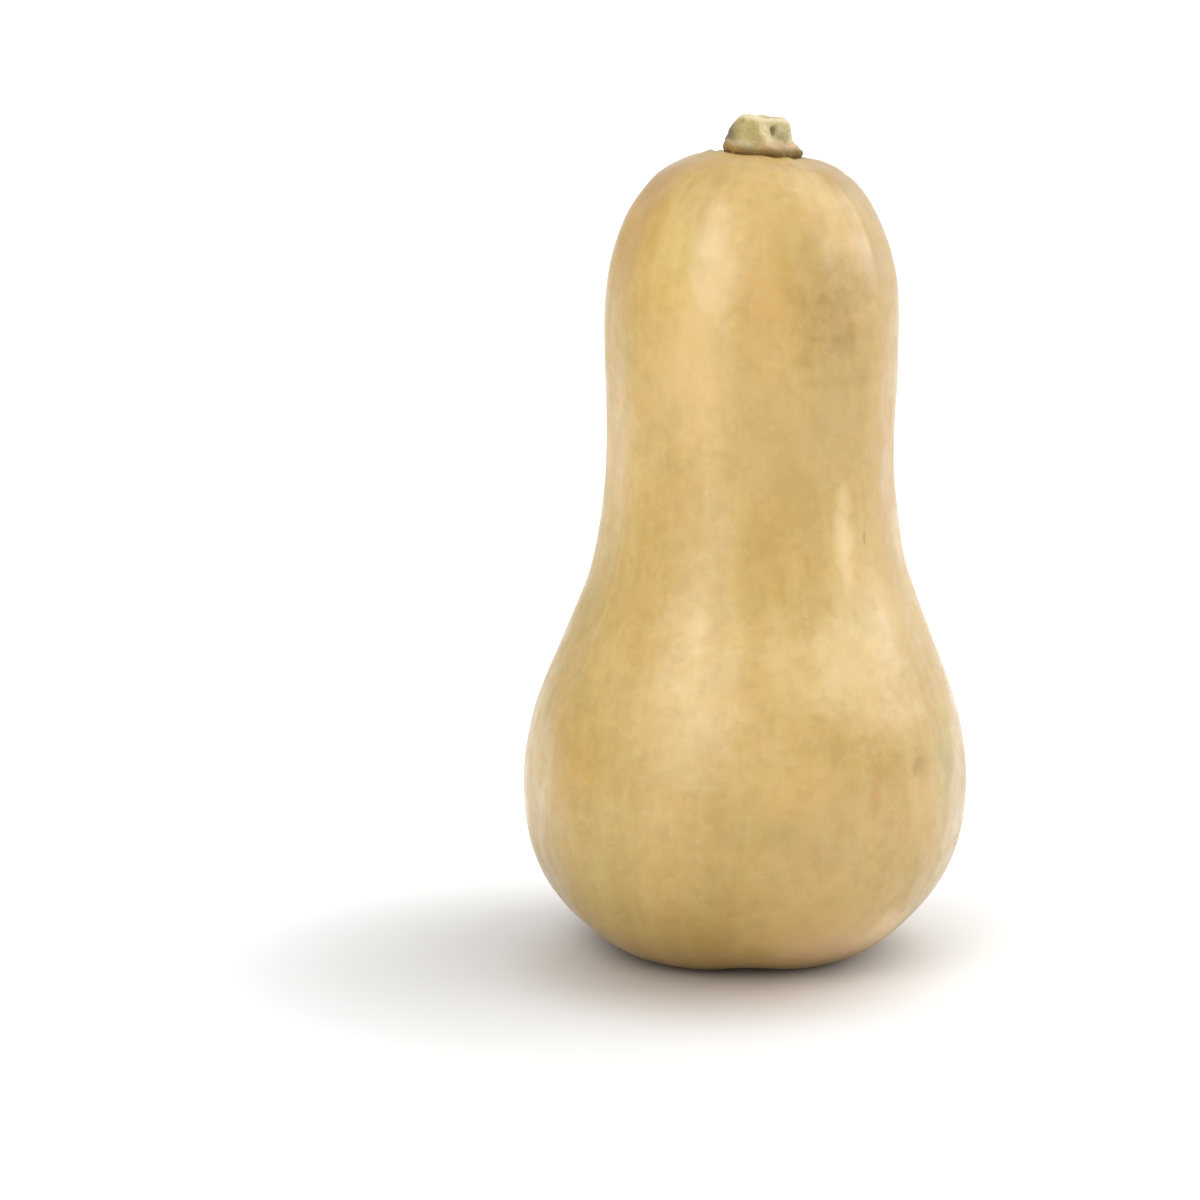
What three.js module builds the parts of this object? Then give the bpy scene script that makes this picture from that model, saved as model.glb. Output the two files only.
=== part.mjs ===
// A whole butternut squash standing on its blossom end, with the dried stub of its stem on top.
// Millimetres, +Z up, -Y towards the viewer, +X to the viewer's right. The origin lies on the
// surface that the squash stands on, under the middle of its outline.
import * as THREE from "three";

const { degToRad, smoothstep } = THREE.MathUtils;

// The fruit's outline as [radius, height], from the blossom end up to the edge of the stem's seat.
// Its second station lies just under the standing surface, so the skin is flat where it rests.
const SKIN_OUTLINE = [
  [9, 1.5],
  [22, -1.2],
  [38.4, 2],
  [51.8, 12.4],
  [60.2, 28],
  [62.5, 48],
  [59.4, 69],
  [51.4, 90],
  [43.7, 110],
  [40.2, 131],
  [39.6, 150],
  [40.4, 167],
  [40.5, 181],
  [39, 194],
  [35.6, 205],
  [31.2, 213.4],
  [26.2, 219.3],
  [20.2, 223.2],
  [13.4, 224.5],
];
// The corky scar that the blossom left, in the hollow of the base
const SCAR_OUTLINE = [
  [0, 2.2],
  [2.4, 2],
  [3.6, 2.9],
  [6, 2.6],
];
// The flat spot on the crown that the stem sits on
const SEAT_RADIUS = 12.6;
const SEAT_HEIGHT = 224;

// Five lobes gather round the base and, more faintly, round the crown, with a groove at the front.
const LOBES = 5;
const FRONT_GROOVE = degToRad(-90);
const BASE_GROOVE_DEPTH = 1.9;
const BASE_GROOVE_LIFT = 1.3;
const CROWN_GROOVE_DEPTH = 0.7;
const BASE_FADE = [4, 62];
const CROWN_FADE = [190, 222];
const LOBE_RADII = [8, 30];
// Under the base the grooves are lifted off the surface, between the scar and the base's edge.
const SCAR_EDGE = [7, 16];
const BASE_EDGE = [26, 46];
const UNDERSIDE_FADE = [6, 16];
// Ten faint ribs run up the flanks.
const RIB_DEPTH = 0.28;
const RIB_RADII = [20, 38];

// The bulb and the neck are a little oval, each its own way.
const BULB_OVAL = { depth: 0.5, turn: 1.2, radii: [10, 50] };
const NECK_OVAL = { depth: 0.4, turn: -0.5, radii: [14, 36] };
const BULB_TO_NECK = [45, 150];

// The fruit's middle line: the base and crown stand off to the side, and the neck leans back.
const BASE_SHIFT = -1.2;
const BASE_BEND = [20, 150];
const CROWN_SHIFT = 1.4;
const CROWN_BEND = [219, 224];
const NECK_LEAN_BACK = 2;
const NECK_BEND = [80, 200];
// The crown slopes down to the viewer's right as far out as these radii, and the stem with it.
const CROWN_SLOPE = 0.085;
const CROWN_SLOPE_RADII = [14, 30];

// The stem's outline as [radius, height above the seat], from under its foot up to the cut end
const STEM_GAP = 0.3;
const STEM_OUTLINE = [
  [0, STEM_GAP],
  [5, STEM_GAP],
  [9.6, STEM_GAP],
  [10.9, 1.6],
  [10.8, 2.9],
  [9.9, 4.1],
  [8.8, 5.6],
  [8, 7.6],
  [7.3, 9.6],
  [6.2, 11],
  [4.6, 11.4],
  [2.5, 10.9],
  [0, 10.6],
];
// Its ridges are low toes on the foot, stand out along the flank and soften at the cut rim. The
// sway, one wave round the stem, sets them unevenly apart, and each millimetre of height twists them.
const STEM_RIDGES = 5;
const RIDGE_START = degToRad(-91);
const RIDGE_SWAY = degToRad(40);
const RIDGE_SWAY_START = degToRad(-10);
const RIDGE_TWIST = degToRad(4);
const RIDGE_TWIST_MIDDLE = 6.5;
const TOE_DEPTH = 0.35;
const FLANK_DEPTH = 0.95;
const RIM_DEPTH = 0.6;
const TOE_TO_FLANK = [2.6, 5];
const FLANK_TO_RIM = [8.6, 11];
const RIDGE_RADII = [2, 7];
// The stem's middle line: its foot bulges to the viewer's right, and its cut end leans that way.
const FOOT_SHIFT = 0.9;
const FOOT_BEND = [3, 5];
const STEM_LEAN = 1.8;
const STEM_BEND = [4, 11];
// The hollow left by a small side shoot, beside the front ridge
const KNOT = { angle: degToRad(-62), height: 7.8, radius: 1.7, depth: 1.3, radii: [5, 7] };

// How finely the solids are faceted
const FRUIT_SIDES = 80;
const FRUIT_STEPS = 48;
const STEM_SIDES = 60;
const STEM_STEPS = 2;

const skinMaterial = new THREE.MeshStandardMaterial({ color: "#d6b679", roughness: 0.45, metalness: 0 });
const stemMaterial = new THREE.MeshStandardMaterial({ color: "#bfae7c", roughness: 0.85, metalness: 0 });

const points = (outline) => outline.map(([radius, height]) => new THREE.Vector2(radius, height));

// Rises smoothly from 0 at the span's start to 1 at its end.
const rise = (value, [start, end]) => smoothstep(value, start, end);

// 1 in the middle of each of the fruit's grooves and 0 between them
const grooveAt = (angle) => ((1 + Math.cos(LOBES * (angle - FRONT_GROOVE))) / 2) ** 2;

const ovalAt = (angle, { depth, turn }) => depth * Math.cos(2 * angle - turn);

// 1 along each of the stem's ridges, falling off fast to a broad hollow between them
function ridgeAt(angle, height) {
  const turn = angle - RIDGE_START + RIDGE_TWIST * (height - RIDGE_TWIST_MIDDLE);
  const phase = STEM_RIDGES * turn + RIDGE_SWAY * Math.sin(angle - RIDGE_SWAY_START);
  return 2 * ((1 + Math.cos(phase)) / 2) ** 2 - 1;
}

const crownDrop = (x, radius) => CROWN_SLOPE * x * (1 - rise(radius, CROWN_SLOPE_RADII));

// Turns an outline about Z, then hands each vertex to shape(), which moves it.
function turned(outline, sides, shape) {
  const geometry = new THREE.LatheGeometry(outline, sides);
  geometry.rotateX(Math.PI / 2);
  const position = geometry.getAttribute("position");
  const vertex = new THREE.Vector3();
  for (let i = 0; i < position.count; i++) {
    vertex.fromBufferAttribute(position, i);
    shape(vertex);
    position.setXYZ(i, vertex.x, vertex.y, vertex.z);
  }
  geometry.computeVertexNormals();
  return geometry;
}

// Moves a vertex with the fruit's middle line.
function bend(vertex, height) {
  vertex.x += BASE_SHIFT * (1 - rise(height, BASE_BEND)) + CROWN_SHIFT * rise(height, CROWN_BEND);
  vertex.y += NECK_LEAN_BACK * rise(height, NECK_BEND);
}

function shapeFruit(vertex) {
  const height = vertex.z;
  const radius = Math.hypot(vertex.x, vertex.y);
  const angle = Math.atan2(vertex.y, vertex.x);
  const base = 1 - rise(height, BASE_FADE);
  const bulb = 1 - rise(height, BULB_TO_NECK);

  const grooveDepth = BASE_GROOVE_DEPTH * base + CROWN_GROOVE_DEPTH * rise(height, CROWN_FADE);
  const ribDepth = RIB_DEPTH * (1 - base) * rise(radius, RIB_RADII);
  const moved =
    radius -
    grooveDepth * rise(radius, LOBE_RADII) * grooveAt(angle) +
    ribDepth * Math.cos(2 * LOBES * angle) +
    bulb * ovalAt(angle, BULB_OVAL) * rise(radius, BULB_OVAL.radii) +
    (1 - bulb) * ovalAt(angle, NECK_OVAL) * rise(radius, NECK_OVAL.radii);

  const ring = rise(radius, SCAR_EDGE) * (1 - rise(radius, BASE_EDGE));
  const lift = BASE_GROOVE_LIFT * ring * (1 - rise(height, UNDERSIDE_FADE)) * grooveAt(angle);
  vertex.x = moved * Math.cos(angle);
  vertex.y = moved * Math.sin(angle);
  vertex.z = Math.max(0, height + lift);
  if (height > SEAT_HEIGHT / 2) vertex.z -= crownDrop(vertex.x, radius);
  bend(vertex, height);
}

function shapeStem(vertex) {
  const height = vertex.z;
  const radius = Math.hypot(vertex.x, vertex.y);
  const angle = Math.atan2(vertex.y, vertex.x);
  const flank = rise(height, TOE_TO_FLANK);
  const rim = rise(height, FLANK_TO_RIM);
  const ridgeDepth = TOE_DEPTH * (1 - flank) + FLANK_DEPTH * flank * (1 - rim) + RIM_DEPTH * rim;

  const turnFromKnot = Math.atan2(Math.sin(angle - KNOT.angle), Math.cos(angle - KNOT.angle));
  const fromKnot = Math.hypot(turnFromKnot * radius, height - KNOT.height) / KNOT.radius;
  const knotDepth = KNOT.depth * Math.max(0, 1 - fromKnot ** 2) * rise(radius, KNOT.radii);
  const ridge = ridgeDepth * ridgeAt(angle, height) * rise(radius, RIDGE_RADII);
  const moved = radius + ridge - knotDepth;

  const foot = 1 - rise(height, FOOT_BEND);
  vertex.x = moved * Math.cos(angle) + FOOT_SHIFT * foot + STEM_LEAN * rise(height, STEM_BEND);
  vertex.y = moved * Math.sin(angle);
  vertex.z = SEAT_HEIGHT + height - crownDrop(vertex.x, 0);
  bend(vertex, SEAT_HEIGHT);
}

function fruit() {
  const skin = new THREE.SplineCurve(points(SKIN_OUTLINE)).getPoints(FRUIT_STEPS);
  const seat = [new THREE.Vector2(SEAT_RADIUS, SEAT_HEIGHT), new THREE.Vector2(0, SEAT_HEIGHT)];
  const outline = [...points(SCAR_OUTLINE), ...skin, ...seat];
  const mesh = new THREE.Mesh(turned(outline, FRUIT_SIDES, shapeFruit), skinMaterial);
  mesh.name = "fruit";
  return mesh;
}

function stem() {
  const flank = points(STEM_OUTLINE);
  const outline = new THREE.SplineCurve(flank).getPoints((flank.length - 1) * STEM_STEPS);
  outline.forEach((point) => (point.y = Math.max(point.y, STEM_GAP)));
  outline[0].x = 0;
  outline.at(-1).x = 0;
  const mesh = new THREE.Mesh(turned(outline, STEM_SIDES, shapeStem), stemMaterial);
  mesh.name = "stem";
  return mesh;
}

const squash = new THREE.Group();
squash.add(fruit(), stem());
const outlineBox = new THREE.Box3().setFromObject(squash);
const middle = outlineBox.getCenter(new THREE.Vector3());
squash.children.forEach((mesh) => mesh.position.set(-middle.x, -middle.y, 0));

export default squash;
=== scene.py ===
import math

import bpy
import numpy as np
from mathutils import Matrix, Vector, noise


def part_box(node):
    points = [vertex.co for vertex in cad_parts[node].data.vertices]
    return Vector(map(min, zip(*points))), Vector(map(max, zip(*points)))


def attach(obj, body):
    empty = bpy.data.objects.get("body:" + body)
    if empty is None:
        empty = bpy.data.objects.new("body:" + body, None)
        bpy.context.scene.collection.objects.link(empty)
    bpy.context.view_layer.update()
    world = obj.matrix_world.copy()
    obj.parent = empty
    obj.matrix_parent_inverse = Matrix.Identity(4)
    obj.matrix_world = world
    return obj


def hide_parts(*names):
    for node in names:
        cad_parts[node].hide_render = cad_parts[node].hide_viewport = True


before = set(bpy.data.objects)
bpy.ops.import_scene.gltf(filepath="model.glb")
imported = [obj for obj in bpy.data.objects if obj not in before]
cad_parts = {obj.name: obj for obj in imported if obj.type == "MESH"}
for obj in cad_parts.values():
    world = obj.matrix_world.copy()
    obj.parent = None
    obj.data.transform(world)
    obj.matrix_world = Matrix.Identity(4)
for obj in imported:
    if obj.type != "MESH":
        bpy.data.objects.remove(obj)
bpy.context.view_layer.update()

# The camera of the photograph
CAMERA_PLACE = (-0.0412, -1.150, 0.318)
CAMERA_TILT_DOWN = math.radians(10.76)
CAMERA_LENS = 124.5
CAMERA_SENSOR = 36.0

# The fruit's outline as (radius, height), from the blossom end up to the edge of the stem's seat
SKIN_OUTLINE = (
    (0.009, 0.0015),
    (0.022, -0.0012),
    (0.0384, 0.002),
    (0.0518, 0.0124),
    (0.0602, 0.028),
    (0.0625, 0.048),
    (0.0594, 0.069),
    (0.0514, 0.090),
    (0.0437, 0.110),
    (0.0402, 0.131),
    (0.0396, 0.150),
    (0.0404, 0.167),
    (0.0405, 0.181),
    (0.039, 0.194),
    (0.0356, 0.205),
    (0.0312, 0.2134),
    (0.0262, 0.2193),
    (0.0202, 0.2232),
    (0.0134, 0.2245),
)
SCAR_OUTLINE = ((0.0, 0.0022), (0.0024, 0.002), (0.0036, 0.0029), (0.006, 0.0026))
SEAT_RADIUS = 0.0126
SEAT_HEIGHT = 0.224

# Five lobes gather round the base and, more faintly, round the crown, with a groove at the front.
LOBES = 5
FRONT_GROOVE = math.radians(-90)
BASE_GROOVE_DEPTH = 0.0019
BASE_GROOVE_LIFT = 0.0013
CROWN_GROOVE_DEPTH = 0.0007
BASE_FADE = (0.004, 0.062)
CROWN_FADE = (0.190, 0.222)
LOBE_RADII = (0.008, 0.030)
SCAR_EDGE = (0.007, 0.016)
BASE_EDGE = (0.026, 0.046)
UNDERSIDE_FADE = (0.006, 0.016)
RIB_DEPTH = 0.00028
RIB_RADII = (0.020, 0.038)

# The bulb and the neck are a little oval, each its own way: (depth, turn, radii).
BULB_OVAL = (0.0005, 1.2, (0.010, 0.050))
NECK_OVAL = (0.0004, -0.5, (0.014, 0.036))
BULB_TO_NECK = (0.045, 0.150)

# The fruit's middle line and the slope of its crown
BASE_SHIFT = -0.0012
BASE_BEND = (0.020, 0.150)
CROWN_SHIFT = 0.0014
CROWN_BEND = (0.219, 0.224)
NECK_LEAN_BACK = 0.002
NECK_BEND = (0.080, 0.200)
CROWN_SLOPE = 0.085
CROWN_SLOPE_RADII = (0.014, 0.030)

# The fruit's fine relief: broad soft waves, shallower ripples, the pucker round the stem's foot, the
# low collar in front of it, the sink at the left of the crown and the ridges of the blossom's scar
WAVE_DEPTH, WAVE_SIZE = 0.00045, 0.030
RIPPLE_DEPTH, RIPPLE_SIZE = 0.00012, 0.010
RELIEF_STRETCH = 0.55
RELIEF_START = (0.001, 0.016)
RELIEF_END = (0.2225, 0.2245)
PUCKER_DEPTH = 0.00026
PUCKERS, PUCKER_SWAY, PUCKER_SWAY_START = 11, 2.2, 1
PUCKER_RADII = (0.0105, 0.0155, 0.023)
NEAR_SEAT = (0.212, 0.220)
COLLAR_HEIGHT = 0.0009
COLLAR_RADII = (0.0104, 0.0122, 0.019)
COLLAR_SIDE, COLLAR_SPREAD = math.radians(-110), (-0.5, 0.7)
SINK_DEPTH = 0.0009
SINK_RADII = (0.0115, 0.0165, 0.028)
SINK_SIDE, SINK_SPREAD = math.radians(140), (-0.4, 0.8)
SCAR_RIDGES = 9
SCAR_RIDGE_DEPTH = 0.00025
SCAR_RIDGE_START, SCAR_RIDGE_END = (0.001, 0.003), (0.006, 0.010)
SCAR_TOP = (0.004, 0.006)

# The stem's outline as (radius, height above the seat), from under its foot up to the cut end
STEM_GAP = 0.0003
STEM_OUTLINE = (
    (0.0, STEM_GAP),
    (0.005, STEM_GAP),
    (0.0096, STEM_GAP),
    (0.0109, 0.0016),
    (0.0108, 0.0029),
    (0.0099, 0.0041),
    (0.0088, 0.0056),
    (0.008, 0.0076),
    (0.0073, 0.0096),
    (0.0062, 0.011),
    (0.0046, 0.0114),
    (0.0025, 0.0109),
    (0.0, 0.0106),
)
STEM_RIDGES = 5
RIDGE_START = math.radians(-91)
RIDGE_SWAY = math.radians(40)
RIDGE_SWAY_START = math.radians(-10)
RIDGE_TWIST = math.radians(4) / 0.001
RIDGE_TWIST_MIDDLE = 0.0065
TOE_DEPTH = 0.00035
FLANK_DEPTH = 0.00095
RIM_DEPTH = 0.0006
TOE_TO_FLANK = (0.0026, 0.005)
FLANK_TO_RIM = (0.0086, 0.011)
RIDGE_RADII = (0.002, 0.007)
FOOT_SHIFT = 0.0009
FOOT_BEND = (0.003, 0.005)
STEM_LEAN = 0.0018
STEM_BEND = (0.004, 0.011)
KNOT_ANGLE = math.radians(-62)
KNOT_HEIGHT = 0.0078
KNOT_RADIUS = 0.0017
KNOT_DEPTH = 0.0013
KNOT_RADII = (0.005, 0.007)
FOOT_SINK, FOOT_SINK_HEIGHTS = 0.0005, (STEM_GAP, 0.0015)
GNARL_DEPTH, GNARL_SIZE = 0.00055, 0.0042
CORK_DEPTH, CORK_SIZE = 0.00016, 0.0012
STEM_RELIEF_START = (STEM_GAP, 0.001)

# The rind's two main colours and how they change into each other: size, low and high
RIND_DARK, RIND_LIGHT = "a18343", "ad9056"
RIND_BLOTCHES = (0.045, 0.35, 0.68)
# Its layers of mottle, from broad to fine: direction, size, low, high, detail, strength and colour
RIND_MOTTLES = (
    ("all_ways", 0.030, 0.50, 0.70, 4.0, 0.45, "958142"),
    ("all_ways", 0.018, 0.52, 0.70, 4.0, 0.38, "b38d4c"),
    ("lengthwise", 0.007, 0.45, 0.72, 4.0, 0.22, "bca76c"),
    ("lengthwise", 0.012, 0.50, 0.70, 4.0, 0.20, "8f7639"),
    ("all_ways", 0.0090, 0.48, 0.72, 5.0, 0.22, "957a3e"),
    ("all_ways", 0.0040, 0.45, 0.66, 5.0, 0.22, "8c703a"),
    ("all_ways", 0.0024, 0.48, 0.68, 4.0, 0.13, "b9a46e"),
)
STREAK_GIRTH, STREAK_STRETCH, THREAD_STRETCH = 0.05, 0.16, 0.05
THREADS, THREAD_TONE = (0.0016, 0.5, 0.75), (0.05, "856c32")
# Its patches and marks, among them painted highlights, painted shade and painted bounce light: place,
# reach, raggedness, grain, strength and colour
RIND_PATCHES = (
    ((-0.034, -0.010, 0.205), (0.014, 0.026, 0.032), 0.8, 0.014, 0.52, "9a702a"),
    # Partly the rind's own orange, partly painted shade at the crown's left limb
    ((-0.026, -0.006, 0.217), (0.017, 0.018, 0.012), 0.8, 0.010, 0.70, "926d28"),
    ((-0.014, -0.010, 0.222), (0.016, 0.012, 0.010), 0.9, 0.010, 0.40, "a37937"),
    ((-0.021, -0.027, 0.198), (0.010, 0.014, 0.024), 0.9, 0.010, 0.28, "b89e56"),
    ((0.003, -0.037, 0.188), (0.010, 0.010, 0.018), 1.0, 0.008, 0.40, "b0894d"),
    ((0.024, -0.031, 0.158), (0.014, 0.018, 0.030), 1.1, 0.010, 0.42, "957a40"),
    ((0.016, -0.034, 0.199), (0.018, 0.016, 0.020), 1.1, 0.008, 0.35, "95783a"),
    # Painted shade across the waist's front
    ((0.008, -0.038, 0.146), (0.022, 0.016, 0.034), 1.0, 0.010, 0.35, "94763a"),
    # Painted shade on the neck's right limb
    ((0.038, -0.012, 0.165), (0.010, 0.018, 0.050), 0.8, 0.010, 0.40, "a07a30"),
    ((0.055, -0.027, 0.060), (0.010, 0.014, 0.016), 1.2, 0.006, 0.45, "887c39"),
    ((0.0466, -0.0393, 0.0612), (0.0045, 0.0060, 0.0062), 1.5, 0.0025, 0.55, "7d5b24"),
    ((0.0335, -0.0515, 0.0545), (0.0025, 0.0040, 0.0100), 1.2, 0.0030, 0.45, "9d6c37"),
    ((0.0504, -0.0363, 0.0429), (0.0030, 0.0040, 0.0100), 1.2, 0.0030, 0.40, "a47a48"),
    ((0.0313, -0.0279, 0.1221), (0.0006, 0.0012, 0.0032), 0.8, 0.0010, 0.60, "7d592c"),
    ((0.0142, -0.0519, 0.0843), (0.0007, 0.0009, 0.0007), 0.5, 0.0010, 0.35, "bdb283"),
    # Painted highlight on the bulb's shoulder and along the flare's crisp left edge
    ((0.027, -0.044, 0.088), (0.019, 0.018, 0.026), 1.1, 0.008, 0.50, "c2ab7c"),
    ((0.010, -0.050, 0.092), (0.010, 0.016, 0.020), 1.1, 0.008, 0.40, "bda572"),
    ((0.0256, -0.0322, 0.1215), (0.0042, 0.0070, 0.0250), 0.6, 0.004, 0.55, "c9b285"),
    # Painted highlight on the neck's left, where the left softbox reflects
    ((-0.016, -0.034, 0.170), (0.014, 0.016, 0.030), 1.0, 0.010, 0.50, "b99a62"),
    ((-0.009, -0.034, 0.199), (0.010, 0.016, 0.022), 0.9, 0.010, 0.36, "bfa475"),
    ((0.024, -0.006, 0.218), (0.016, 0.016, 0.010), 0.8, 0.008, 0.65, "90702a"),
    ((0.034, -0.020, 0.198), (0.008, 0.014, 0.018), 1.0, 0.008, 0.40, "93743a"),
    ((0.019, -0.056, 0.045), (0.022, 0.016, 0.018), 1.1, 0.010, 0.30, "9a7a42"),
    ((0.050, -0.037, 0.050), (0.011, 0.018, 0.022), 1.0, 0.008, 0.22, "bf9f66"),
    # Painted shade on the right limb of the bulb and of the waist
    ((0.060, -0.016, 0.046), (0.009, 0.024, 0.036), 0.8, 0.010, 0.48, "8f6f34"),
    ((0.039, -0.012, 0.142), (0.010, 0.020, 0.045), 0.8, 0.010, 0.35, "966f2a"),
    # Painted bounce light from the floor on the base
    ((0.020, -0.050, 0.020), (0.036, 0.026, 0.021), 0.9, 0.012, 0.32, "c9a566"),
    ((0.025, -0.044, 0.012), (0.032, 0.022, 0.015), 0.9, 0.010, 0.80, "c2a070"),
    ((0.0370, -0.0350, 0.0130), (0.015, 0.016, 0.012), 0.8, 0.008, 0.55, "dcc294"),
)
# The olive shade high on the neck: place, reach, raggedness and grain, then what lies within it
OLIVE_SHADE = ((0.0215, -0.0320, 0.185), (0.016, 0.018, 0.024), 1.5, 0.006)
OLIVE_TONE = (0.48, "8c6f38")
OLIVE_MOTTLE, OLIVE_MOTTLE_TONE = (0.0045, 0.42, 0.68, 4.0), (0.40, "80642a")
OLIVE_SPECKS, OLIVE_SPECK_TONE = (0.0042, 0.55, 0.34), (0.35, "6b5120")
# Corky flecks as spacing, share of places and size, each with its strength and colour
PALE_FLECKS, PALE_FLECK_TONE = (0.0048, 0.15, 0.11), (0.25, "bdb07a")
DARK_FLECKS, DARK_FLECK_TONE = (0.0035, 0.08, 0.10), (0.4, "725627")
# The skin round the stem's foot, the painted shade in the crevice under it, the skin at the base and in
# the blossom's scar
CROWN_HEIGHTS = (0.205, 0.218)
CROWN_EDGE_RADII, CROWN_EDGE_TONE = (0.0165, 0.0115), (0.55, "907430")
CREVICE_SHADE_RADII, CREVICE_SHADE_TONE = (0.0120, 0.0108), (0.6, "5f4720")
BASE_HEIGHTS, BASE_TONE = (0.010, 0.0), (0.35, "93773b")
SCAR_RADII, SCAR_HEIGHTS, SCAR_TONE = (0.0085, 0.0055), (0.012, 0.006), (0.85, "674f2b")
# Gloss: the roughness and the wax, each as its two ends and the mottle that varies it
RIND_ROUGHNESS, RIND_WEAR = (0.38, 0.50), (0.014, 0.35, 0.7, 5.0)
SCAR_ROUGHNESS = 0.3
WAX_WEIGHT, WAX_WEAR = (0.30, 0.65), (0.006, 0.3, 0.8, 4.0)
WAX_ROUGHNESS = 0.20
RIND_SPECULAR = 0.4
FLESH_GLOW, FLESH_GLOW_COLOUR, FLESH_GLOW_DEPTH = 0.12, (1.0, 0.55, 0.2), 0.006
# The finest grain, as bump: how dense pores and lumps are, and the share of each in the grain
PORE_DENSITY, PORE_DETAIL, PORE_SHARE = 900.0, 2.0, 0.3
LUMP_DENSITY, LUMP_DETAIL, LUMP_SHARE = 220.0, 3.0, 0.9
THREAD_SHARE, FLECK_SHARE = 0.10, 0.3
RIND_BUMP, BUMP_DEPTH = 0.25, 0.0005

# The cork's two main colours, how they change into each other, and where on the stem its masks rise
# and fall: heights above the seat, sides along X, radii, and shares of a ridge or of the knot hole
CORK_DARK, CORK_LIGHT = "96895a", "aa9d70"
CORK_BLOTCHES = (0.0045, 0.35, 0.7)
FLANK_START, FLANK_END = (0.0030, 0.0052), (0.0110, 0.0088)
FOOT_TOP_END, FOOT_TOP_START = (0.0056, 0.0044), (0.0018, 0.0032)
HOLLOWS, RIDGES = (0.1, -0.9), (0.1, 1.0)
# The left flank's mask lays painted shade down the stem's left side
FLANK_RIGHT, FLANK_LEFT_SHADE = (0.0035, 0.0065), (-0.0020, -0.0056)
FLANK_LEFT_SHADE_START = (0.0030, 0.0056)
FOOT_LEFT, FOOT_RIGHT = (0.0030, -0.0010), (0.0010, 0.0050)
FOOT_TAN, FOOT_TAN_HEIGHTS = (0.0000, -0.0060), (0.0050, 0.0030)
FOOT_HEIGHTS, FOOT_SPECK_HEIGHTS = (0.0044, 0.0022), (0.0046, 0.0032)
# Heights over which the painted shade at the foot's lower edge fades in
FOOT_EDGE_SHADE_HEIGHTS = (0.0016, 0.0005)
RIM_HEIGHTS, CUT_RADII = (0.0098, 0.0112), (0.0050, 0.0030)
KNOT_SHADE = (0.35, 0.95)
# Its patches (place, reach, raggedness and grain), mottles (size, low, high and detail) and specks
STEM_PATCHES = {
    "olive_patch": ((0.0088, -0.0052, 0.2302), (0.0032, 0.0052, 0.0022), 0.6, 0.002),
    "ridge_end_patch": ((0.0030, -0.0080, 0.2294), (0.0022, 0.0050, 0.0022), 0.6, 0.002),
    "foot_front_patch": ((0.0050, -0.0085, 0.2262), (0.0060, 0.0060, 0.0018), 0.8, 0.003),
    "foot_right_patch": ((0.0124, -0.0040, 0.2276), (0.0032, 0.0060, 0.0018), 0.6, 0.002),
}
BROWN_MOTTLE, PALE_MOTTLE = (0.0022, 0.5, 0.74, 5.0), (0.0009, 0.5, 0.7, 4.0)
FOOT_SPECKS = (0.0018, 0.40, 0.26)
# Its layers of colour, in the order in which they are laid: mask, strength and colour
STEM_LAYERS = (
    ("flank_hollows", 0.65, "90844f"),
    ("flank_right", 0.65, "b5a988"),
    ("flank_ridges", 0.50, "cfc09c"),
    ("olive_patch", 0.75, "7f7342"),
    ("ridge_end_patch", 0.60, "94774f"),
    ("foot_left", 0.6, "a99e80"),
    ("foot_right", 0.6, "ac8e6c"),
    ("foot_front_patch", 0.5, "8f6a4a"),
    ("foot_right_patch", 0.8, "c4a88c"),
    ("foot", 0.94, "6a5124"),
    ("cut_rim", 0.60, "d6cdae"),
    ("cut_end", 0.6, "9c8d60"),
    # Painted shade down the stem's left flank
    ("flank_left_shade", 0.88, "4c4329"),
    ("foot_tan", 0.6, "8a6c34"),
    ("brown_mottle", 0.4, "63502f"),
    ("pale_mottle", 0.12, "cdbf94"),
    ("foot_specks", 0.5, "4a3a20"),
    # Painted shade along the foot's lower edge where it meets the fruit, partly the foot's own brown
    ("foot_edge_shade", 0.85, "45300f"),
    ("knot", 0.50, "5f502c"),
)
CORK_ROUGHNESS, CORK_SPECULAR = 0.85, 0.3
CORK_DENSITY, CORK_DETAIL, CORK_COARSENESS, CORK_BUMP = 1400.0, 5.0, 0.65, 0.6

# The studio: a paper floor with a painted contact shadow, darker and browner under the fruit, that glows
# further out, each from its own place and over its own reach
FLOOR_HALF = 12.0
FLOOR_SHADOW_TONE, FLOOR_FAR = (0.42, 0.375, 0.33, 1), (0.61, 0.605, 0.60, 1)
FLOOR_CONTACT, FLOOR_CONTACT_REACH = (-0.006, -0.030, 0), (0.015, 0.075)
FLOOR_GLOW, FLOOR_GLOW_REACH = 0.64, (0.04, 0.24)
FLOOR_SHADE_PLACE = (-0.040, -0.040, 0)
FLOOR_ROUGHNESS, FLOOR_SPECULAR = 0.8, 0.1
# The sky's mean brightness and how it changes along X, Y and Z
SKY_MEAN, SKY_SLOPE = 0.74, (0.30, 0.20, 0.10)
# The softboxes: name, turn round from the camera's side, tilt up, distance, size and brightness
LIGHTS_AIM = (0, 0, 0.12)
SOFTBOXES = (
    ("left_low_box", -34, 22, 1.30, (1.30, 1.00), 2.85),
    ("left_high_box", -42, 48, 1.30, (0.80, 0.80), 3.0),
    ("right_box", 100, 42, 1.25, (1.10, 1.40), 1.6),
    ("right_low_box", 95, 17, 1.20, (0.95, 0.60), 2.0),
    ("right_front_box", 44, 27, 1.25, (0.80, 0.45), 0.8),
)

# What is the same for every patch and speck: a patch's detail and how it fades from edge to middle,
# and a speck's smallest size and the share of it that is solid
PATCH_DETAIL, PATCH_FADE = 4.0, (1.0, 0.15)
SPECK_SMALLEST, SPECK_CORE = 0.4, 0.4

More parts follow.
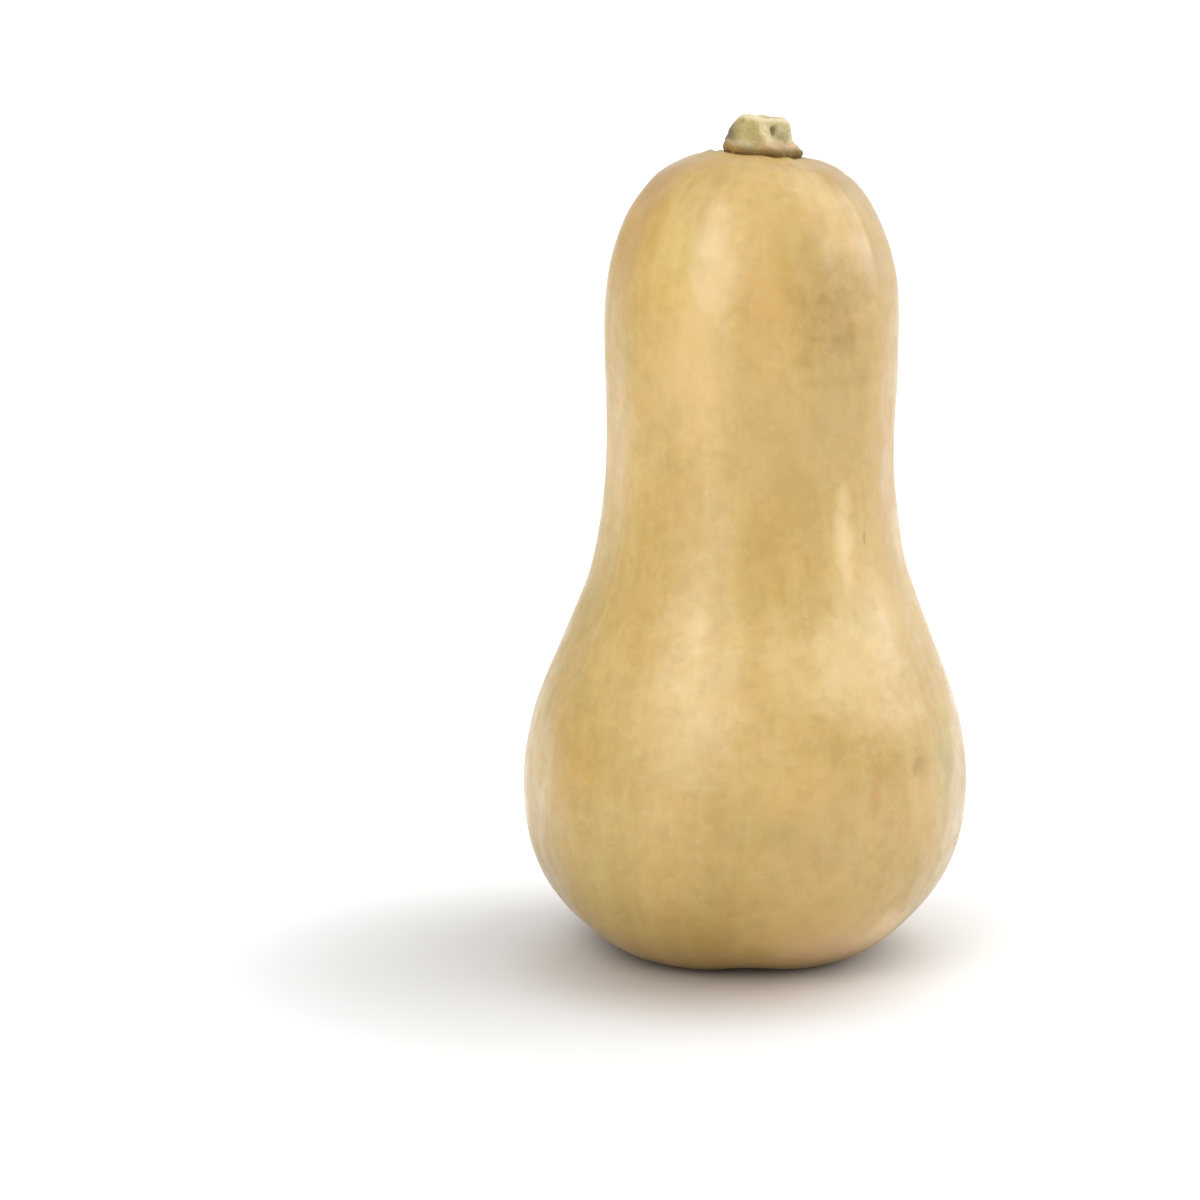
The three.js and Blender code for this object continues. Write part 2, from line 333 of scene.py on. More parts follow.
# How finely the pieces are meshed
SKIN_SIDES, SKIN_RINGS, SCAR_RINGS, SEAT_RINGS = 288, 300, 14, 20
STEM_SIDES, STEM_RINGS = 240, 190
CURVE_STEPS = 60


def rise(value, span):
    """Rises smoothly from 0 at the span's start to 1 at its end."""
    start, end = span
    share = np.clip((value - start) / (end - start), 0, 1)
    return share * share * (3 - 2 * share)


def smooth_outline(stations, count):
    """A curve through the stations, as points evenly spaced along its length."""
    points = np.array(stations, float)
    last = len(points) - 1
    along = np.linspace(0, last, CURVE_STEPS * last + 1)
    start = np.minimum(along.astype(int), last - 1)
    share = (along - start)[:, None]
    before, here = points[np.maximum(start - 1, 0)], points[start]
    there, beyond = points[start + 1], points[np.minimum(start + 2, last)]
    leave, arrive = (there - before) / 2, (beyond - here) / 2
    curve = (
        (2 * here - 2 * there + leave + arrive) * share**3
        + (3 * there - 3 * here - 2 * leave - arrive) * share**2
        + leave * share
        + here
    )
    lengths = np.concatenate([[0], np.cumsum(np.linalg.norm(np.diff(curve, axis=0), axis=1))])
    wanted = np.linspace(0, lengths[-1], count)
    return np.stack([np.interp(wanted, lengths, curve[:, i]) for i in (0, 1)], axis=1)


def groove_at(angle):
    """1 in the middle of each of the fruit's grooves and 0 between them"""
    return ((1 + np.cos(LOBES * (angle - FRONT_GROOVE))) / 2) ** 2


def oval_at(angle, radius, oval):
    depth, turn, radii = oval
    return depth * np.cos(2 * angle - turn) * rise(radius, radii)


def crown_drop(x, radius):
    return CROWN_SLOPE * x * (1 - rise(radius, CROWN_SLOPE_RADII))


def ring_at(radius, radii):
    """1 along a ring, falling off to 0 at its edges. radii holds the inner edge, crest and outer edge."""
    inner, crest, outer = radii
    return rise(radius, (inner, crest)) * (1 - rise(radius, (crest, outer)))


def side_at(angle, side, spread):
    """1 on one side of the fruit, falling off to 0 round it"""
    return rise(np.cos(angle - side), spread)


def middle_line(height):
    """How far the fruit's middle line stands to the side and back at a height"""
    side = BASE_SHIFT * (1 - rise(height, BASE_BEND)) + CROWN_SHIFT * rise(height, CROWN_BEND)
    return side, NECK_LEAN_BACK * rise(height, NECK_BEND)


def fruit_points(radius, height, angle):
    """The fruit's surface, from the turned outline to its lobes, ribs, ovals and bends"""
    base = 1 - rise(height, BASE_FADE)
    bulb = 1 - rise(height, BULB_TO_NECK)
    groove_depth = BASE_GROOVE_DEPTH * base + CROWN_GROOVE_DEPTH * rise(height, CROWN_FADE)
    rib_depth = RIB_DEPTH * (1 - base) * rise(radius, RIB_RADII)
    moved = (
        radius
        - groove_depth * rise(radius, LOBE_RADII) * groove_at(angle)
        + rib_depth * np.cos(2 * LOBES * angle)
        + bulb * oval_at(angle, radius, BULB_OVAL)
        + (1 - bulb) * oval_at(angle, radius, NECK_OVAL)
    )
    ring = rise(radius, SCAR_EDGE) * (1 - rise(radius, BASE_EDGE))
    lift = BASE_GROOVE_LIFT * ring * (1 - rise(height, UNDERSIDE_FADE)) * groove_at(angle)
    x, y = moved * np.cos(angle), moved * np.sin(angle)
    z = np.maximum(0, height + lift)
    z = z - np.where(height > SEAT_HEIGHT / 2, crown_drop(x, radius), 0)

    near_seat = rise(height, NEAR_SEAT)
    waves = np.cos(PUCKERS * angle + PUCKER_SWAY * np.sin(2 * angle + PUCKER_SWAY_START))
    collar = ring_at(radius, COLLAR_RADII) * side_at(angle, COLLAR_SIDE, COLLAR_SPREAD)
    sink = ring_at(radius, SINK_RADII) * side_at(angle, SINK_SIDE, SINK_SPREAD)
    z = z + PUCKER_DEPTH * near_seat * ring_at(radius, PUCKER_RADII) * waves
    z = z + near_seat * (COLLAR_HEIGHT * collar - SINK_DEPTH * sink)
    scar_ring = rise(radius, SCAR_RIDGE_START) * (1 - rise(radius, SCAR_RIDGE_END))
    scar = scar_ring * (1 - rise(height, SCAR_TOP))
    z = z + SCAR_RIDGE_DEPTH * scar * np.cos(SCAR_RIDGES * angle)
    side, back = middle_line(height)
    return np.stack([x + side, y + back, z], axis=-1)


def stem_points(radius, height, angle):
    """The stem's surface, with its ridges, its knot hole, its bulging foot and its lean"""
    flank = rise(height, TOE_TO_FLANK)
    rim = rise(height, FLANK_TO_RIM)
    ridge_depth = TOE_DEPTH * (1 - flank) + FLANK_DEPTH * flank * (1 - rim) + RIM_DEPTH * rim
    moved = radius + ridge_depth * ridge_at(angle, height) * rise(radius, RIDGE_RADII)
    moved = moved - KNOT_DEPTH * knot_at(radius, height, angle) * rise(radius, KNOT_RADII)
    foot = 1 - rise(height, FOOT_BEND)
    x = moved * np.cos(angle) + FOOT_SHIFT * foot + STEM_LEAN * rise(height, STEM_BEND)
    y = moved * np.sin(angle)
    z = SEAT_HEIGHT + height - crown_drop(x, 0)
    z = z - FOOT_SINK * (1 - rise(height, FOOT_SINK_HEIGHTS))
    side, back = middle_line(SEAT_HEIGHT)
    return np.stack([x + side, y + back, z], axis=-1)


def ridge_at(angle, height):
    """1 along each of the stem's ridges, falling off fast to a broad hollow between them"""
    turn = angle - RIDGE_START + RIDGE_TWIST * (height - RIDGE_TWIST_MIDDLE)
    phase = STEM_RIDGES * turn + RIDGE_SWAY * np.sin(angle - RIDGE_SWAY_START)
    return 2 * ((1 + np.cos(phase)) / 2) ** 2 - 1


def knot_at(radius, height, angle):
    """1 in the middle of the knot hole, 0 from its edge on"""
    turn = np.arctan2(np.sin(angle - KNOT_ANGLE), np.cos(angle - KNOT_ANGLE))
    return np.maximum(0, 1 - (np.hypot(turn * radius, height - KNOT_HEIGHT) / KNOT_RADIUS) ** 2)


def turned_mesh(name, outline, sides, surface):
    """A closed mesh turned about Z: one point at each end of the outline and rings between them"""
    angles = np.linspace(-math.pi, math.pi, sides, endpoint=False)
    radius, angle = np.meshgrid(outline[1:-1, 0], angles, indexing="ij")
    height = np.repeat(outline[1:-1, 1:2], sides, axis=1)
    ends = [surface(np.zeros(1), outline[i, 1:2], np.zeros(1)) for i in (0, -1)]
    points = np.concatenate([surface(radius, height, angle).reshape(-1, 3), *ends])

    rings = len(outline) - 2
    first, last = rings * sides, rings * sides + 1
    low = np.arange(rings - 1)[:, None] * sides + np.arange(sides)
    right = (np.arange(sides) + 1) % sides
    low_right = np.arange(rings - 1)[:, None] * sides + right
    quads = np.stack([low, low_right, low_right + sides, low + sides], axis=-1).reshape(-1, 4)
    top = (rings - 1) * sides
    faces = quads.tolist()
    faces += [[first, int(right[i]), i] for i in range(sides)]
    faces += [[last, top + i, top + int(right[i])] for i in range(sides)]

    mesh = bpy.data.meshes.new(name)
    mesh.from_pydata(points.tolist(), [], faces)
    mesh.shade_smooth()
    piece = bpy.data.objects.new(name, mesh)
    bpy.context.scene.collection.objects.link(piece)
    return piece


def coordinates(piece):
    flat = np.empty(len(piece.data.vertices) * 3)
    piece.data.vertices.foreach_get("co", flat)
    return flat.reshape(-1, 3)


def push_out(piece, distances):
    """Moves each vertex of the piece along its normal."""
    normals = np.empty(len(piece.data.vertices) * 3)
    piece.data.vertices.foreach_get("normal", normals)
    moved = coordinates(piece) + normals.reshape(-1, 3) * np.asarray(distances)[:, None]
    piece.data.vertices.foreach_set("co", moved.ravel())
    piece.data.update()


def noise_at(points, size, octaves=2):
    return np.array([noise.fractal(Vector(p) / size, 1.0, 2.0, octaves) for p in points])


def keep_values(piece, name, values):
    """Stores one number a vertex on the piece, for its material to read."""
    layer = piece.data.attributes.new(name, "FLOAT", "POINT")
    layer.data.foreach_set("value", np.asarray(values, np.float32))


def make_skin():
    seat = [(SEAT_RADIUS, SEAT_HEIGHT), (0.0, SEAT_HEIGHT)]
    scar = smooth_outline(SCAR_OUTLINE + SKIN_OUTLINE[:1], SCAR_RINGS)
    flank = smooth_outline(SKIN_OUTLINE, SKIN_RINGS)
    under_stem = smooth_outline(seat, SEAT_RINGS)
    outline = np.concatenate([scar, flank[1:], under_stem])
    skin = turned_mesh("squash_skin", outline, SKIN_SIDES, fruit_points)
    ends = outline[[0, -1]]
    kept = np.concatenate([np.repeat(outline[1:-1], SKIN_SIDES, axis=0), ends])
    keep_values(skin, "skin_radius", kept[:, 0])
    keep_values(skin, "skin_height", kept[:, 1])

    points = coordinates(skin)
    stretched = points * (1, 1, RELIEF_STRETCH)
    height = points[:, 2]
    fade = rise(height, RELIEF_START) * (1 - rise(height, RELIEF_END))
    waves = WAVE_DEPTH * noise_at(stretched, WAVE_SIZE)
    ripples = RIPPLE_DEPTH * noise_at(stretched, RIPPLE_SIZE)
    push_out(skin, (waves + ripples) * fade)
    return skin


def make_stem():
    outline = smooth_outline(STEM_OUTLINE, STEM_RINGS)
    outline[:, 1] = np.maximum(outline[:, 1], STEM_GAP)
    outline[[0, -1], 0] = 0
    stem = turned_mesh("stem_stub", outline, STEM_SIDES, stem_points)

    sides = STEM_SIDES
    angle = np.tile(np.linspace(-math.pi, math.pi, sides, endpoint=False), len(outline) - 2)
    radius = np.repeat(outline[1:-1, 0], sides)
    height = np.repeat(outline[1:-1, 1], sides)

    def with_ends(values):
        return np.concatenate([values, [values[0], values[-1]]])

    keep_values(stem, "stem_height", with_ends(height))
    keep_values(stem, "stem_radius", with_ends(radius))
    keep_values(stem, "stem_ridge", with_ends(ridge_at(angle, height)))
    keep_values(stem, "stem_knot", with_ends(knot_at(radius, height, angle)))

    points = coordinates(stem)
    gnarls = GNARL_DEPTH * noise_at(points, GNARL_SIZE)
    cork = CORK_DEPTH * noise_at(points, CORK_SIZE, octaves=3)
    push_out(stem, (gnarls + cork) * rise(with_ends(height), STEM_RELIEF_START))
    return stem


def settle(skin, stem):
    """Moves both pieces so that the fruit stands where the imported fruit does."""
    low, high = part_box("fruit")
    points = coordinates(skin)
    middle = (points.min(axis=0) + points.max(axis=0)) / 2
    shift = np.array([(low.x + high.x) / 2 - middle[0], (low.y + high.y) / 2 - middle[1], 0])
    for piece in (skin, stem):
        piece.data.vertices.foreach_set("co", (coordinates(piece) + shift).ravel())
        piece.data.update()


def tone(code):
    """A linear colour from an sRGB code such as d6b679"""
    parts = [int(code[i : i + 2], 16) / 255 for i in (0, 2, 4)]
    return tuple(p / 12.92 if p <= 0.04045 else ((p + 0.055) / 1.055) ** 2.4 for p in parts) + (1.0,)


def put(tree, kind, inputs=None, **settings):
    """Adds a shader node, with its inputs set to values or linked to other nodes' outputs."""
    made = tree.nodes.new("ShaderNode" + kind)
    for name, value in settings.items():
        setattr(made, name, value)
    for name, value in (inputs or {}).items():
        if isinstance(value, bpy.types.NodeSocket):
            tree.links.new(value, made.inputs[name])
        else:
            made.inputs[name].default_value = value
    return made


def math_of(tree, operation, *values):
    return put(tree, "Math", dict(enumerate(values)), operation=operation).outputs[0]


def ramp(tree, value, low, high, to_low=0.0, to_high=1.0):
    """Turns a value into a smooth mask, to_low at low and to_high at high."""
    ends = {"Value": value, "From Min": low, "From Max": high, "To Min": to_low, "To Max": to_high}
    return put(tree, "MapRange", ends, interpolation_type="SMOOTHSTEP").outputs["Result"]


def blend_colour(tree, mask, under, over):
    """Lays a colour over another through a mask. 6, 7 and 2 are the colour sockets of a Mix node."""
    return put(tree, "Mix", {0: mask, 6: under, 7: over}, data_type="RGBA").outputs[2]


def new_group(name, inputs, outputs):
    """A shader node group. inputs holds (name, kind, default) and outputs (name, kind)."""
    tree = bpy.data.node_groups.new(name, "ShaderNodeTree")
    for label, kind, default in inputs:
        socket = tree.interface.new_socket(label, in_out="INPUT", socket_type="NodeSocket" + kind)
        socket.default_value = default
    for label, kind in outputs:
        tree.interface.new_socket(label, in_out="OUTPUT", socket_type="NodeSocket" + kind)
    return tree, tree.nodes.new("NodeGroupInput").outputs, tree.nodes.new("NodeGroupOutput").inputs


def use(tree, group, inputs):
    """Places a group in a material and returns its output."""
    return put(tree, "Group", inputs, node_tree=group).outputs[0]


def meridian_group():
    """Coordinates that run round the fruit and along it, to draw a pattern out lengthwise"""
    tree, given, wanted = new_group(
        "Along the meridians",
        [("Vector", "Vector", (0, 0, 0)), ("Girth", "Float", 0.05), ("Stretch", "Float", 0.1)],
        [("Vector", "Vector")],
    )
    flat = put(tree, "VectorMath", {0: given["Vector"], 1: (1, 1, 0)}, operation="MULTIPLY").outputs[0]
    outward = put(tree, "VectorMath", {0: flat}, operation="NORMALIZE").outputs[0]
    girth = {0: outward, "Scale": given["Girth"]}
    round_it = put(tree, "VectorMath", girth, operation="SCALE").outputs[0]
    up = put(tree, "SeparateXYZ", {0: given["Vector"]}).outputs["Z"]
    along = put(tree, "CombineXYZ", {"Z": math_of(tree, "MULTIPLY", up, given["Stretch"])}).outputs[0]
    drawn_out = put(tree, "VectorMath", {0: round_it, 1: along}, operation="ADD").outputs[0]
    tree.links.new(drawn_out, wanted["Vector"])
    return tree


def mottle_group():
    """Soft-edged patches of a given size in metres, from 0 to 1"""
    tree, given, wanted = new_group(
        "Mottle",
        [
            ("Vector", "Vector", (0, 0, 0)),
            ("Size", "Float", 0.02),
            ("Detail", "Float", 3.0),
            ("Low", "Float", 0.4),
            ("High", "Float", 0.6),
        ],
        [("Mask", "Float")],
    )
    scale = math_of(tree, "DIVIDE", 1.0, given["Size"])
    pattern = put(tree, "TexNoise", {"Vector": given["Vector"], "Scale": scale, "Detail": given["Detail"]})
    tree.links.new(ramp(tree, pattern.outputs["Fac"], given["Low"], given["High"]), wanted["Mask"])
    return tree


def speck_group():
    """Scattered round specks. Share is how many places are taken, and Size is a share of Spacing."""
    tree, given, wanted = new_group(
        "Specks",
        [
            ("Vector", "Vector", (0, 0, 0)),
            ("Spacing", "Float", 0.004),
            ("Share", "Float", 0.3),
            ("Size", "Float", 0.2),
        ],
        [("Mask", "Float")],
    )
    scale = math_of(tree, "DIVIDE", 1.0, given["Spacing"])
    cells = put(tree, "TexVoronoi", {"Vector": given["Vector"], "Scale": scale})
    draw = put(tree, "SeparateColor", {0: cells.outputs["Color"]})
    taken = math_of(tree, "LESS_THAN", draw.outputs[0], given["Share"])
    drawn_size = ramp(tree, draw.outputs[1], 0.0, 1.0, SPECK_SMALLEST, 1.0)
    size = math_of(tree, "MULTIPLY", given["Size"], drawn_size)
    spot = ramp(tree, cells.outputs["Distance"], size, math_of(tree, "MULTIPLY", size, SPECK_CORE))
    tree.links.new(math_of(tree, "MULTIPLY", spot, taken), wanted["Mask"])
    return tree


def patch_group():
    """One soft, ragged patch round a place, Reach being how far it spreads in X, Y and Z in metres"""
    tree, given, wanted = new_group(
        "Patch",
        [
            ("Vector", "Vector", (0, 0, 0)),
            ("Place", "Vector", (0, 0, 0)),
            ("Reach", "Vector", (0.02, 0.02, 0.02)),
            ("Ragged", "Float", 0.5),
            ("Grain", "Float", 0.01),
        ],
        [("Mask", "Float")],
    )
    ends = {0: given["Vector"], 1: given["Place"]}
    off = put(tree, "VectorMath", ends, operation="SUBTRACT").outputs[0]
    shares = put(tree, "VectorMath", {0: off, 1: given["Reach"]}, operation="DIVIDE").outputs[0]
    distance = put(tree, "VectorMath", {0: shares}, operation="LENGTH").outputs["Value"]
    scale = math_of(tree, "DIVIDE", 1.0, given["Grain"])
    grain = {"Vector": given["Vector"], "Scale": scale, "Detail": PATCH_DETAIL}
    wobble = put(tree, "TexNoise", grain).outputs["Fac"]
    edge = math_of(tree, "MULTIPLY", math_of(tree, "SUBTRACT", wobble, 0.5), given["Ragged"])
    tree.links.new(ramp(tree, math_of(tree, "ADD", distance, edge), *PATCH_FADE), wanted["Mask"])
    return tree


def make_groups():
    return {
        "meridian": meridian_group(),
        "mottle": mottle_group(),
        "specks": speck_group(),
        "patch": patch_group(),
    }


def new_material(name):
    material = bpy.data.materials.new(name)
    material.use_nodes = True
    tree = material.node_tree
    shader = next(n for n in tree.nodes if n.type == "BSDF_PRINCIPLED")
    return material, tree, shader


def mask_tools(tree, groups):
    """The masks that a material draws, each from its group: mottle, patch and specks"""

    def mottle(vector, size, low, high, detail=3.0):
        wanted = {"Vector": vector, "Size": size, "Low": low, "High": high, "Detail": detail}
        return use(tree, groups["mottle"], wanted)

    def patch(vector, place, reach, ragged, grain):
        wanted = {"Vector": vector, "Place": place, "Reach": reach, "Ragged": ragged, "Grain": grain}
        return use(tree, groups["patch"], wanted)

    def specks(vector, spacing, share, size):
        wanted = {"Vector": vector, "Spacing": spacing, "Share": share, "Size": size}
        return use(tree, groups["specks"], wanted)

    return mottle, patch, specks


class Paint:
    """A colour that is built up by laying others over it through masks"""

    def __init__(self, tree, mask, under, over):
        self.tree = tree
        self.colour = blend_colour(tree, mask, tone(under), tone(over))

    def lay(self, mask, strength, code):
        share = both(self.tree, mask, strength)
        self.colour = blend_colour(self.tree, share, self.colour, tone(code))


def both(tree, mask, other):
    """Where both masks are, or a mask at a share of its strength"""
    return math_of(tree, "MULTIPLY", mask, other)


def kept_value(tree, name):
    """A number that the piece keeps at each vertex"""
    return put(tree, "Attribute", attribute_name=name, attribute_type="GEOMETRY").outputs["Fac"]


def noise_pattern(tree, at, density, detail, coarseness=0.5):
    wanted = {"Vector": at, "Scale": density, "Detail": detail, "Roughness": coarseness}
    return put(tree, "TexNoise", wanted).outputs["Fac"]


def bump_into(tree, shader, height, strength):
    bump = put(tree, "Bump", {"Height": height, "Strength": strength, "Distance": BUMP_DEPTH})
    tree.links.new(bump.outputs["Normal"], shader.inputs["Normal"])


def skin_material(groups):
    """Waxy golden-tan rind: soft blotches, lengthwise streaks, a few marks, corky flecks and a sheen, with
    some patches of painted highlight, painted shade and painted bounce light
    """
    material, tree, shader = new_material("waxy_tan_rind")
    mottle, patch, specks = mask_tools(tree, groups)
    at = put(tree, "TexCoord").outputs["Object"]
    height, radius = kept_value(tree, "skin_height"), kept_value(tree, "skin_radius")
    streaks = {"Vector": at, "Girth": STREAK_GIRTH, "Stretch": STREAK_STRETCH}
    lengthwise = use(tree, groups["meridian"], streaks)
    long_fine = use(tree, groups["meridian"], {**streaks, "Stretch": THREAD_STRETCH})

    paint = Paint(tree, mottle(at, *RIND_BLOTCHES), RIND_DARK, RIND_LIGHT)
    directions = {"all_ways": at, "lengthwise": lengthwise}
    for direction, size, low, high, detail, strength, code in RIND_MOTTLES:
        paint.lay(mottle(directions[direction], size, low, high, detail), strength, code)
    threads = mottle(long_fine, *THREADS)
    paint.lay(threads, *THREAD_TONE)
    for place, reach, ragged, grain, strength, code in RIND_PATCHES:
        paint.lay(patch(at, place, reach, ragged, grain), strength, code)
    olive = patch(at, *OLIVE_SHADE)
    paint.lay(olive, *OLIVE_TONE)
    paint.lay(both(tree, mottle(at, *OLIVE_MOTTLE), olive), *OLIVE_MOTTLE_TONE)
    paint.lay(both(tree, specks(at, *OLIVE_SPECKS), olive), *OLIVE_SPECK_TONE)
    pale_flecks = specks(at, *PALE_FLECKS)
    paint.lay(pale_flecks, *PALE_FLECK_TONE)
    paint.lay(specks(at, *DARK_FLECKS), *DARK_FLECK_TONE)

    on_crown = ramp(tree, height, *CROWN_HEIGHTS)
    paint.lay(both(tree, ramp(tree, radius, *CROWN_EDGE_RADII), on_crown), *CROWN_EDGE_TONE)
    # Painted shade in the crevice under the stem's foot
    paint.lay(both(tree, ramp(tree, radius, *CREVICE_SHADE_RADII), on_crown), *CREVICE_SHADE_TONE)
    paint.lay(ramp(tree, height, *BASE_HEIGHTS), *BASE_TONE)
    in_scar = both(tree, ramp(tree, radius, *SCAR_RADII), ramp(tree, height, *SCAR_HEIGHTS))
    paint.lay(in_scar, *SCAR_TONE)
    tree.links.new(paint.colour, shader.inputs["Base Color"])

    worn = ramp(tree, mottle(at, *RIND_WEAR), 0.0, 1.0, *RIND_ROUGHNESS)
    dull = math_of(tree, "ADD", worn, both(tree, in_scar, SCAR_ROUGHNESS))
    tree.links.new(dull, shader.inputs["Roughness"])
    glaze = ramp(tree, mottle(at, *WAX_WEAR), 0.0, 1.0, *WAX_WEIGHT)
    tree.links.new(glaze, shader.inputs["Coat Weight"])
    shader.inputs["Coat Roughness"].default_value = WAX_ROUGHNESS
    shader.inputs["Specular IOR Level"].default_value = RIND_SPECULAR
    shader.inputs["Subsurface Weight"].default_value = FLESH_GLOW
    shader.inputs["Subsurface Radius"].default_value = FLESH_GLOW_COLOUR
    shader.inputs["Subsurface Scale"].default_value = FLESH_GLOW_DEPTH

    pores = noise_pattern(tree, at, PORE_DENSITY, PORE_DETAIL)
    lumps = noise_pattern(tree, at, LUMP_DENSITY, LUMP_DETAIL)
    grain = both(tree, pores, PORE_SHARE)
    for part, share in ((threads, THREAD_SHARE), (pale_flecks, FLECK_SHARE), (lumps, LUMP_SHARE)):
        grain = math_of(tree, "ADD", grain, both(tree, part, share))
    bump_into(tree, shader, grain, RIND_BUMP)
    return material


def stem_masks(tree, groups, at):
    """Where each of the stem's layers of colour lies, by the layer's name"""
    mottle, patch, specks = mask_tools(tree, groups)
    height, radius = kept_value(tree, "stem_height"), kept_value(tree, "stem_radius")
    ridge, knot = kept_value(tree, "stem_ridge"), kept_value(tree, "stem_knot")
    side = put(tree, "SeparateXYZ", {0: at}).outputs["X"]
    flank = both(tree, ramp(tree, height, *FLANK_START), ramp(tree, height, *FLANK_END))
    foot_top = both(tree, ramp(tree, height, *FOOT_TOP_END), ramp(tree, height, *FOOT_TOP_START))
    shaded_left_heights = ramp(tree, height, *FLANK_LEFT_SHADE_START)
    masks = {name: patch(at, *row) for name, row in STEM_PATCHES.items()}
    return masks | {
        "flank_hollows": both(tree, ramp(tree, ridge, *HOLLOWS), flank),
        "flank_right": both(tree, ramp(tree, side, *FLANK_RIGHT), flank),
        "flank_ridges": both(tree, ramp(tree, ridge, *RIDGES), flank),
        # Painted shade down the left flank
        "flank_left_shade": both(tree, ramp(tree, side, *FLANK_LEFT_SHADE), shaded_left_heights),
        "foot_left": both(tree, foot_top, ramp(tree, side, *FOOT_LEFT)),
        "foot_right": both(tree, foot_top, ramp(tree, side, *FOOT_RIGHT)),
        "foot": ramp(tree, height, *FOOT_HEIGHTS),
        "foot_tan": both(tree, ramp(tree, side, *FOOT_TAN), ramp(tree, height, *FOOT_TAN_HEIGHTS)),
        "foot_specks": both(tree, specks(at, *FOOT_SPECKS), ramp(tree, height, *FOOT_SPECK_HEIGHTS)),
        # Painted shade at the foot's lower edge
        "foot_edge_shade": ramp(tree, height, *FOOT_EDGE_SHADE_HEIGHTS),
        "cut_rim": ramp(tree, height, *RIM_HEIGHTS),
        "cut_end": ramp(tree, radius, *CUT_RADII),
        "brown_mottle": mottle(at, *BROWN_MOTTLE),
        "pale_mottle": mottle(at, *PALE_MOTTLE),
        "knot": ramp(tree, knot, *KNOT_SHADE),
    }


def stem_material(groups):
    """Dry cork: cream ridges, olive hollows, brown creases and a brown foot, with painted shade down its
    left flank and along the foot's lower edge
    """
    material, tree, shader = new_material("dry_corky_stem")
    mottle = mask_tools(tree, groups)[0]
    at = put(tree, "TexCoord").outputs["Object"]
    paint = Paint(tree, mottle(at, *CORK_BLOTCHES), CORK_DARK, CORK_LIGHT)
    masks = stem_masks(tree, groups, at)
    for name, strength, code in STEM_LAYERS:
        paint.lay(masks[name], strength, code)
    tree.links.new(paint.colour, shader.inputs["Base Color"])
    shader.inputs["Roughness"].default_value = CORK_ROUGHNESS
    shader.inputs["Specular IOR Level"].default_value = CORK_SPECULAR
    bump_into(tree, shader, noise_pattern(tree, at, CORK_DENSITY, CORK_DETAIL, CORK_COARSENESS), CORK_BUMP)
    return material


def make_camera():
    data = bpy.data.cameras.new("camera")
    data.lens = CAMERA_LENS
    data.sensor_width = CAMERA_SENSOR
    camera = bpy.data.objects.new("camera", data)
    camera.location = CAMERA_PLACE
    camera.rotation_euler = (math.radians(90) - CAMERA_TILT_DOWN, 0, 0)
    bpy.context.scene.collection.objects.link(camera)
    bpy.context.scene.camera = camera


def distance_from(tree, at, place):
    return put(tree, "VectorMath", {0: at, 1: place}, operation="DISTANCE").outputs["Value"]


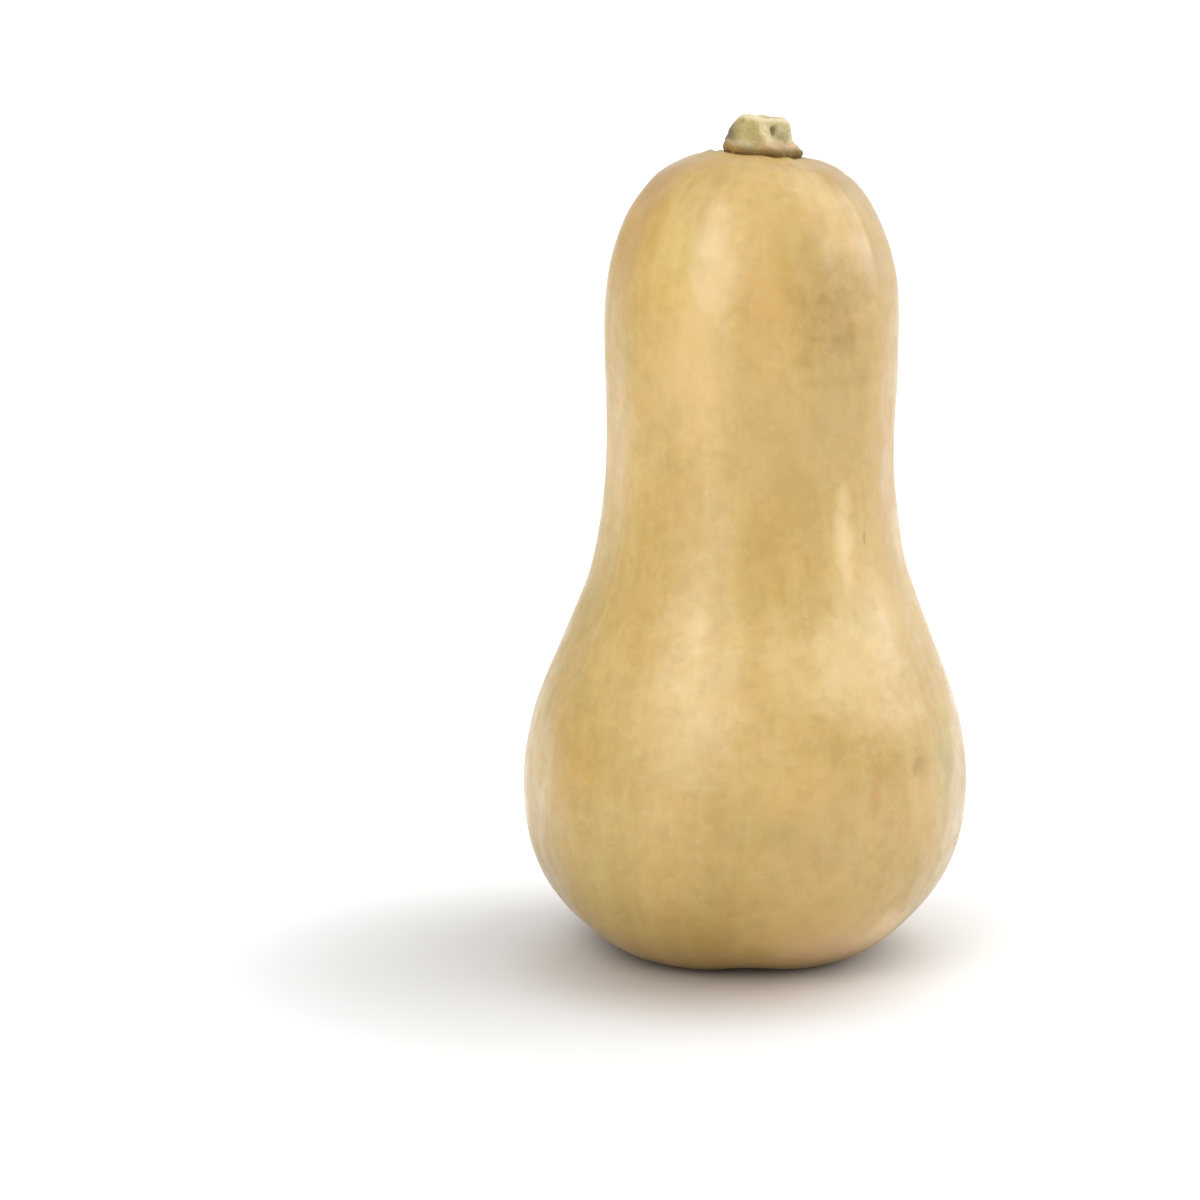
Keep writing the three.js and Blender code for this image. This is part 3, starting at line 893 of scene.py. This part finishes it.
def make_floor():
    mesh = bpy.data.meshes.new("floor")
    half = FLOOR_HALF
    corners = [(-half, -half, 0), (half, -half, 0), (half, half, 0), (-half, half, 0)]
    mesh.from_pydata(corners, [], [(0, 1, 2, 3)])
    floor = bpy.data.objects.new("floor", mesh)
    bpy.context.scene.collection.objects.link(floor)
    material, tree, shader = new_material("white_paper_floor")
    shader.inputs["Roughness"].default_value = FLOOR_ROUGHNESS
    shader.inputs["Specular IOR Level"].default_value = FLOOR_SPECULAR
    at = put(tree, "TexCoord").outputs["Object"]
    # Painted contact shadow: the paper turns darker and browner near the fruit
    near = distance_from(tree, at, FLOOR_CONTACT)
    paper = blend_colour(tree, ramp(tree, near, *FLOOR_CONTACT_REACH), FLOOR_SHADOW_TONE, FLOOR_FAR)
    tree.links.new(paper, shader.inputs["Base Color"])
    away = distance_from(tree, at, FLOOR_SHADE_PLACE)
    glow = ramp(tree, away, *FLOOR_GLOW_REACH, 0.0, FLOOR_GLOW)
    lit = put(tree, "CombineColor", {0: glow, 1: glow, 2: glow}).outputs[0]
    tree.links.new(lit, shader.inputs["Emission Color"])
    shader.inputs["Emission Strength"].default_value = 1.0
    mesh.materials.append(material)


def softbox(name, turn, tilt, distance, size, radiance):
    """A light that the camera doesn't see, turned from the front to the right and tilted up, in degrees"""
    turn, tilt = math.radians(turn), math.radians(tilt)
    level = math.cos(tilt)
    outward = Vector((math.sin(turn) * level, -math.cos(turn) * level, math.sin(tilt)))
    width, height = size
    data = bpy.data.lights.new(name, "AREA")
    data.shape = "RECTANGLE"
    data.size, data.size_y = width, height
    data.energy = radiance * math.pi * width * height
    lamp = bpy.data.objects.new(name, data)
    lamp.location = Vector(LIGHTS_AIM) + distance * outward
    lamp.rotation_euler = (-outward).to_track_quat("-Z", "Y").to_euler()
    lamp.visible_camera = False
    bpy.context.scene.collection.objects.link(lamp)


def make_sky():
    """A white studio whose brightness slopes across the sky, plain white where the camera sees it"""
    world = bpy.data.worlds.new("studio")
    world.use_nodes = True
    tree = world.node_tree
    tree.nodes.clear()
    towards = put(tree, "TexCoord").outputs["Generated"]
    slope = put(tree, "VectorMath", {0: towards, 1: SKY_SLOPE}, operation="DOT_PRODUCT").outputs["Value"]
    strength = math_of(tree, "MAXIMUM", math_of(tree, "ADD", slope, SKY_MEAN), 0.0)
    light = put(tree, "Background", {"Color": (1, 1, 1, 1), "Strength": strength})
    seen = put(tree, "Background", {"Color": (1, 1, 1, 1), "Strength": 1.0})
    by_camera = put(tree, "LightPath").outputs["Is Camera Ray"]
    mixed = put(tree, "MixShader", {0: by_camera, 1: light.outputs[0], 2: seen.outputs[0]})
    output = put(tree, "OutputWorld")
    tree.links.new(mixed.outputs[0], output.inputs["Surface"])
    bpy.context.scene.world = world


make_camera()
skin = make_skin()
stem = make_stem()
settle(skin, stem)
groups = make_groups()
skin.data.materials.append(skin_material(groups))
stem.data.materials.append(stem_material(groups))
for piece, node, slot in ((skin, "fruit", "skin"), (stem, "stem", "stem")):
    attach(piece, "root")
    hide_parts(node)

make_floor()
make_sky()
for box in SOFTBOXES:
    softbox(*box)
bpy.context.scene.view_settings.view_transform = "Standard"
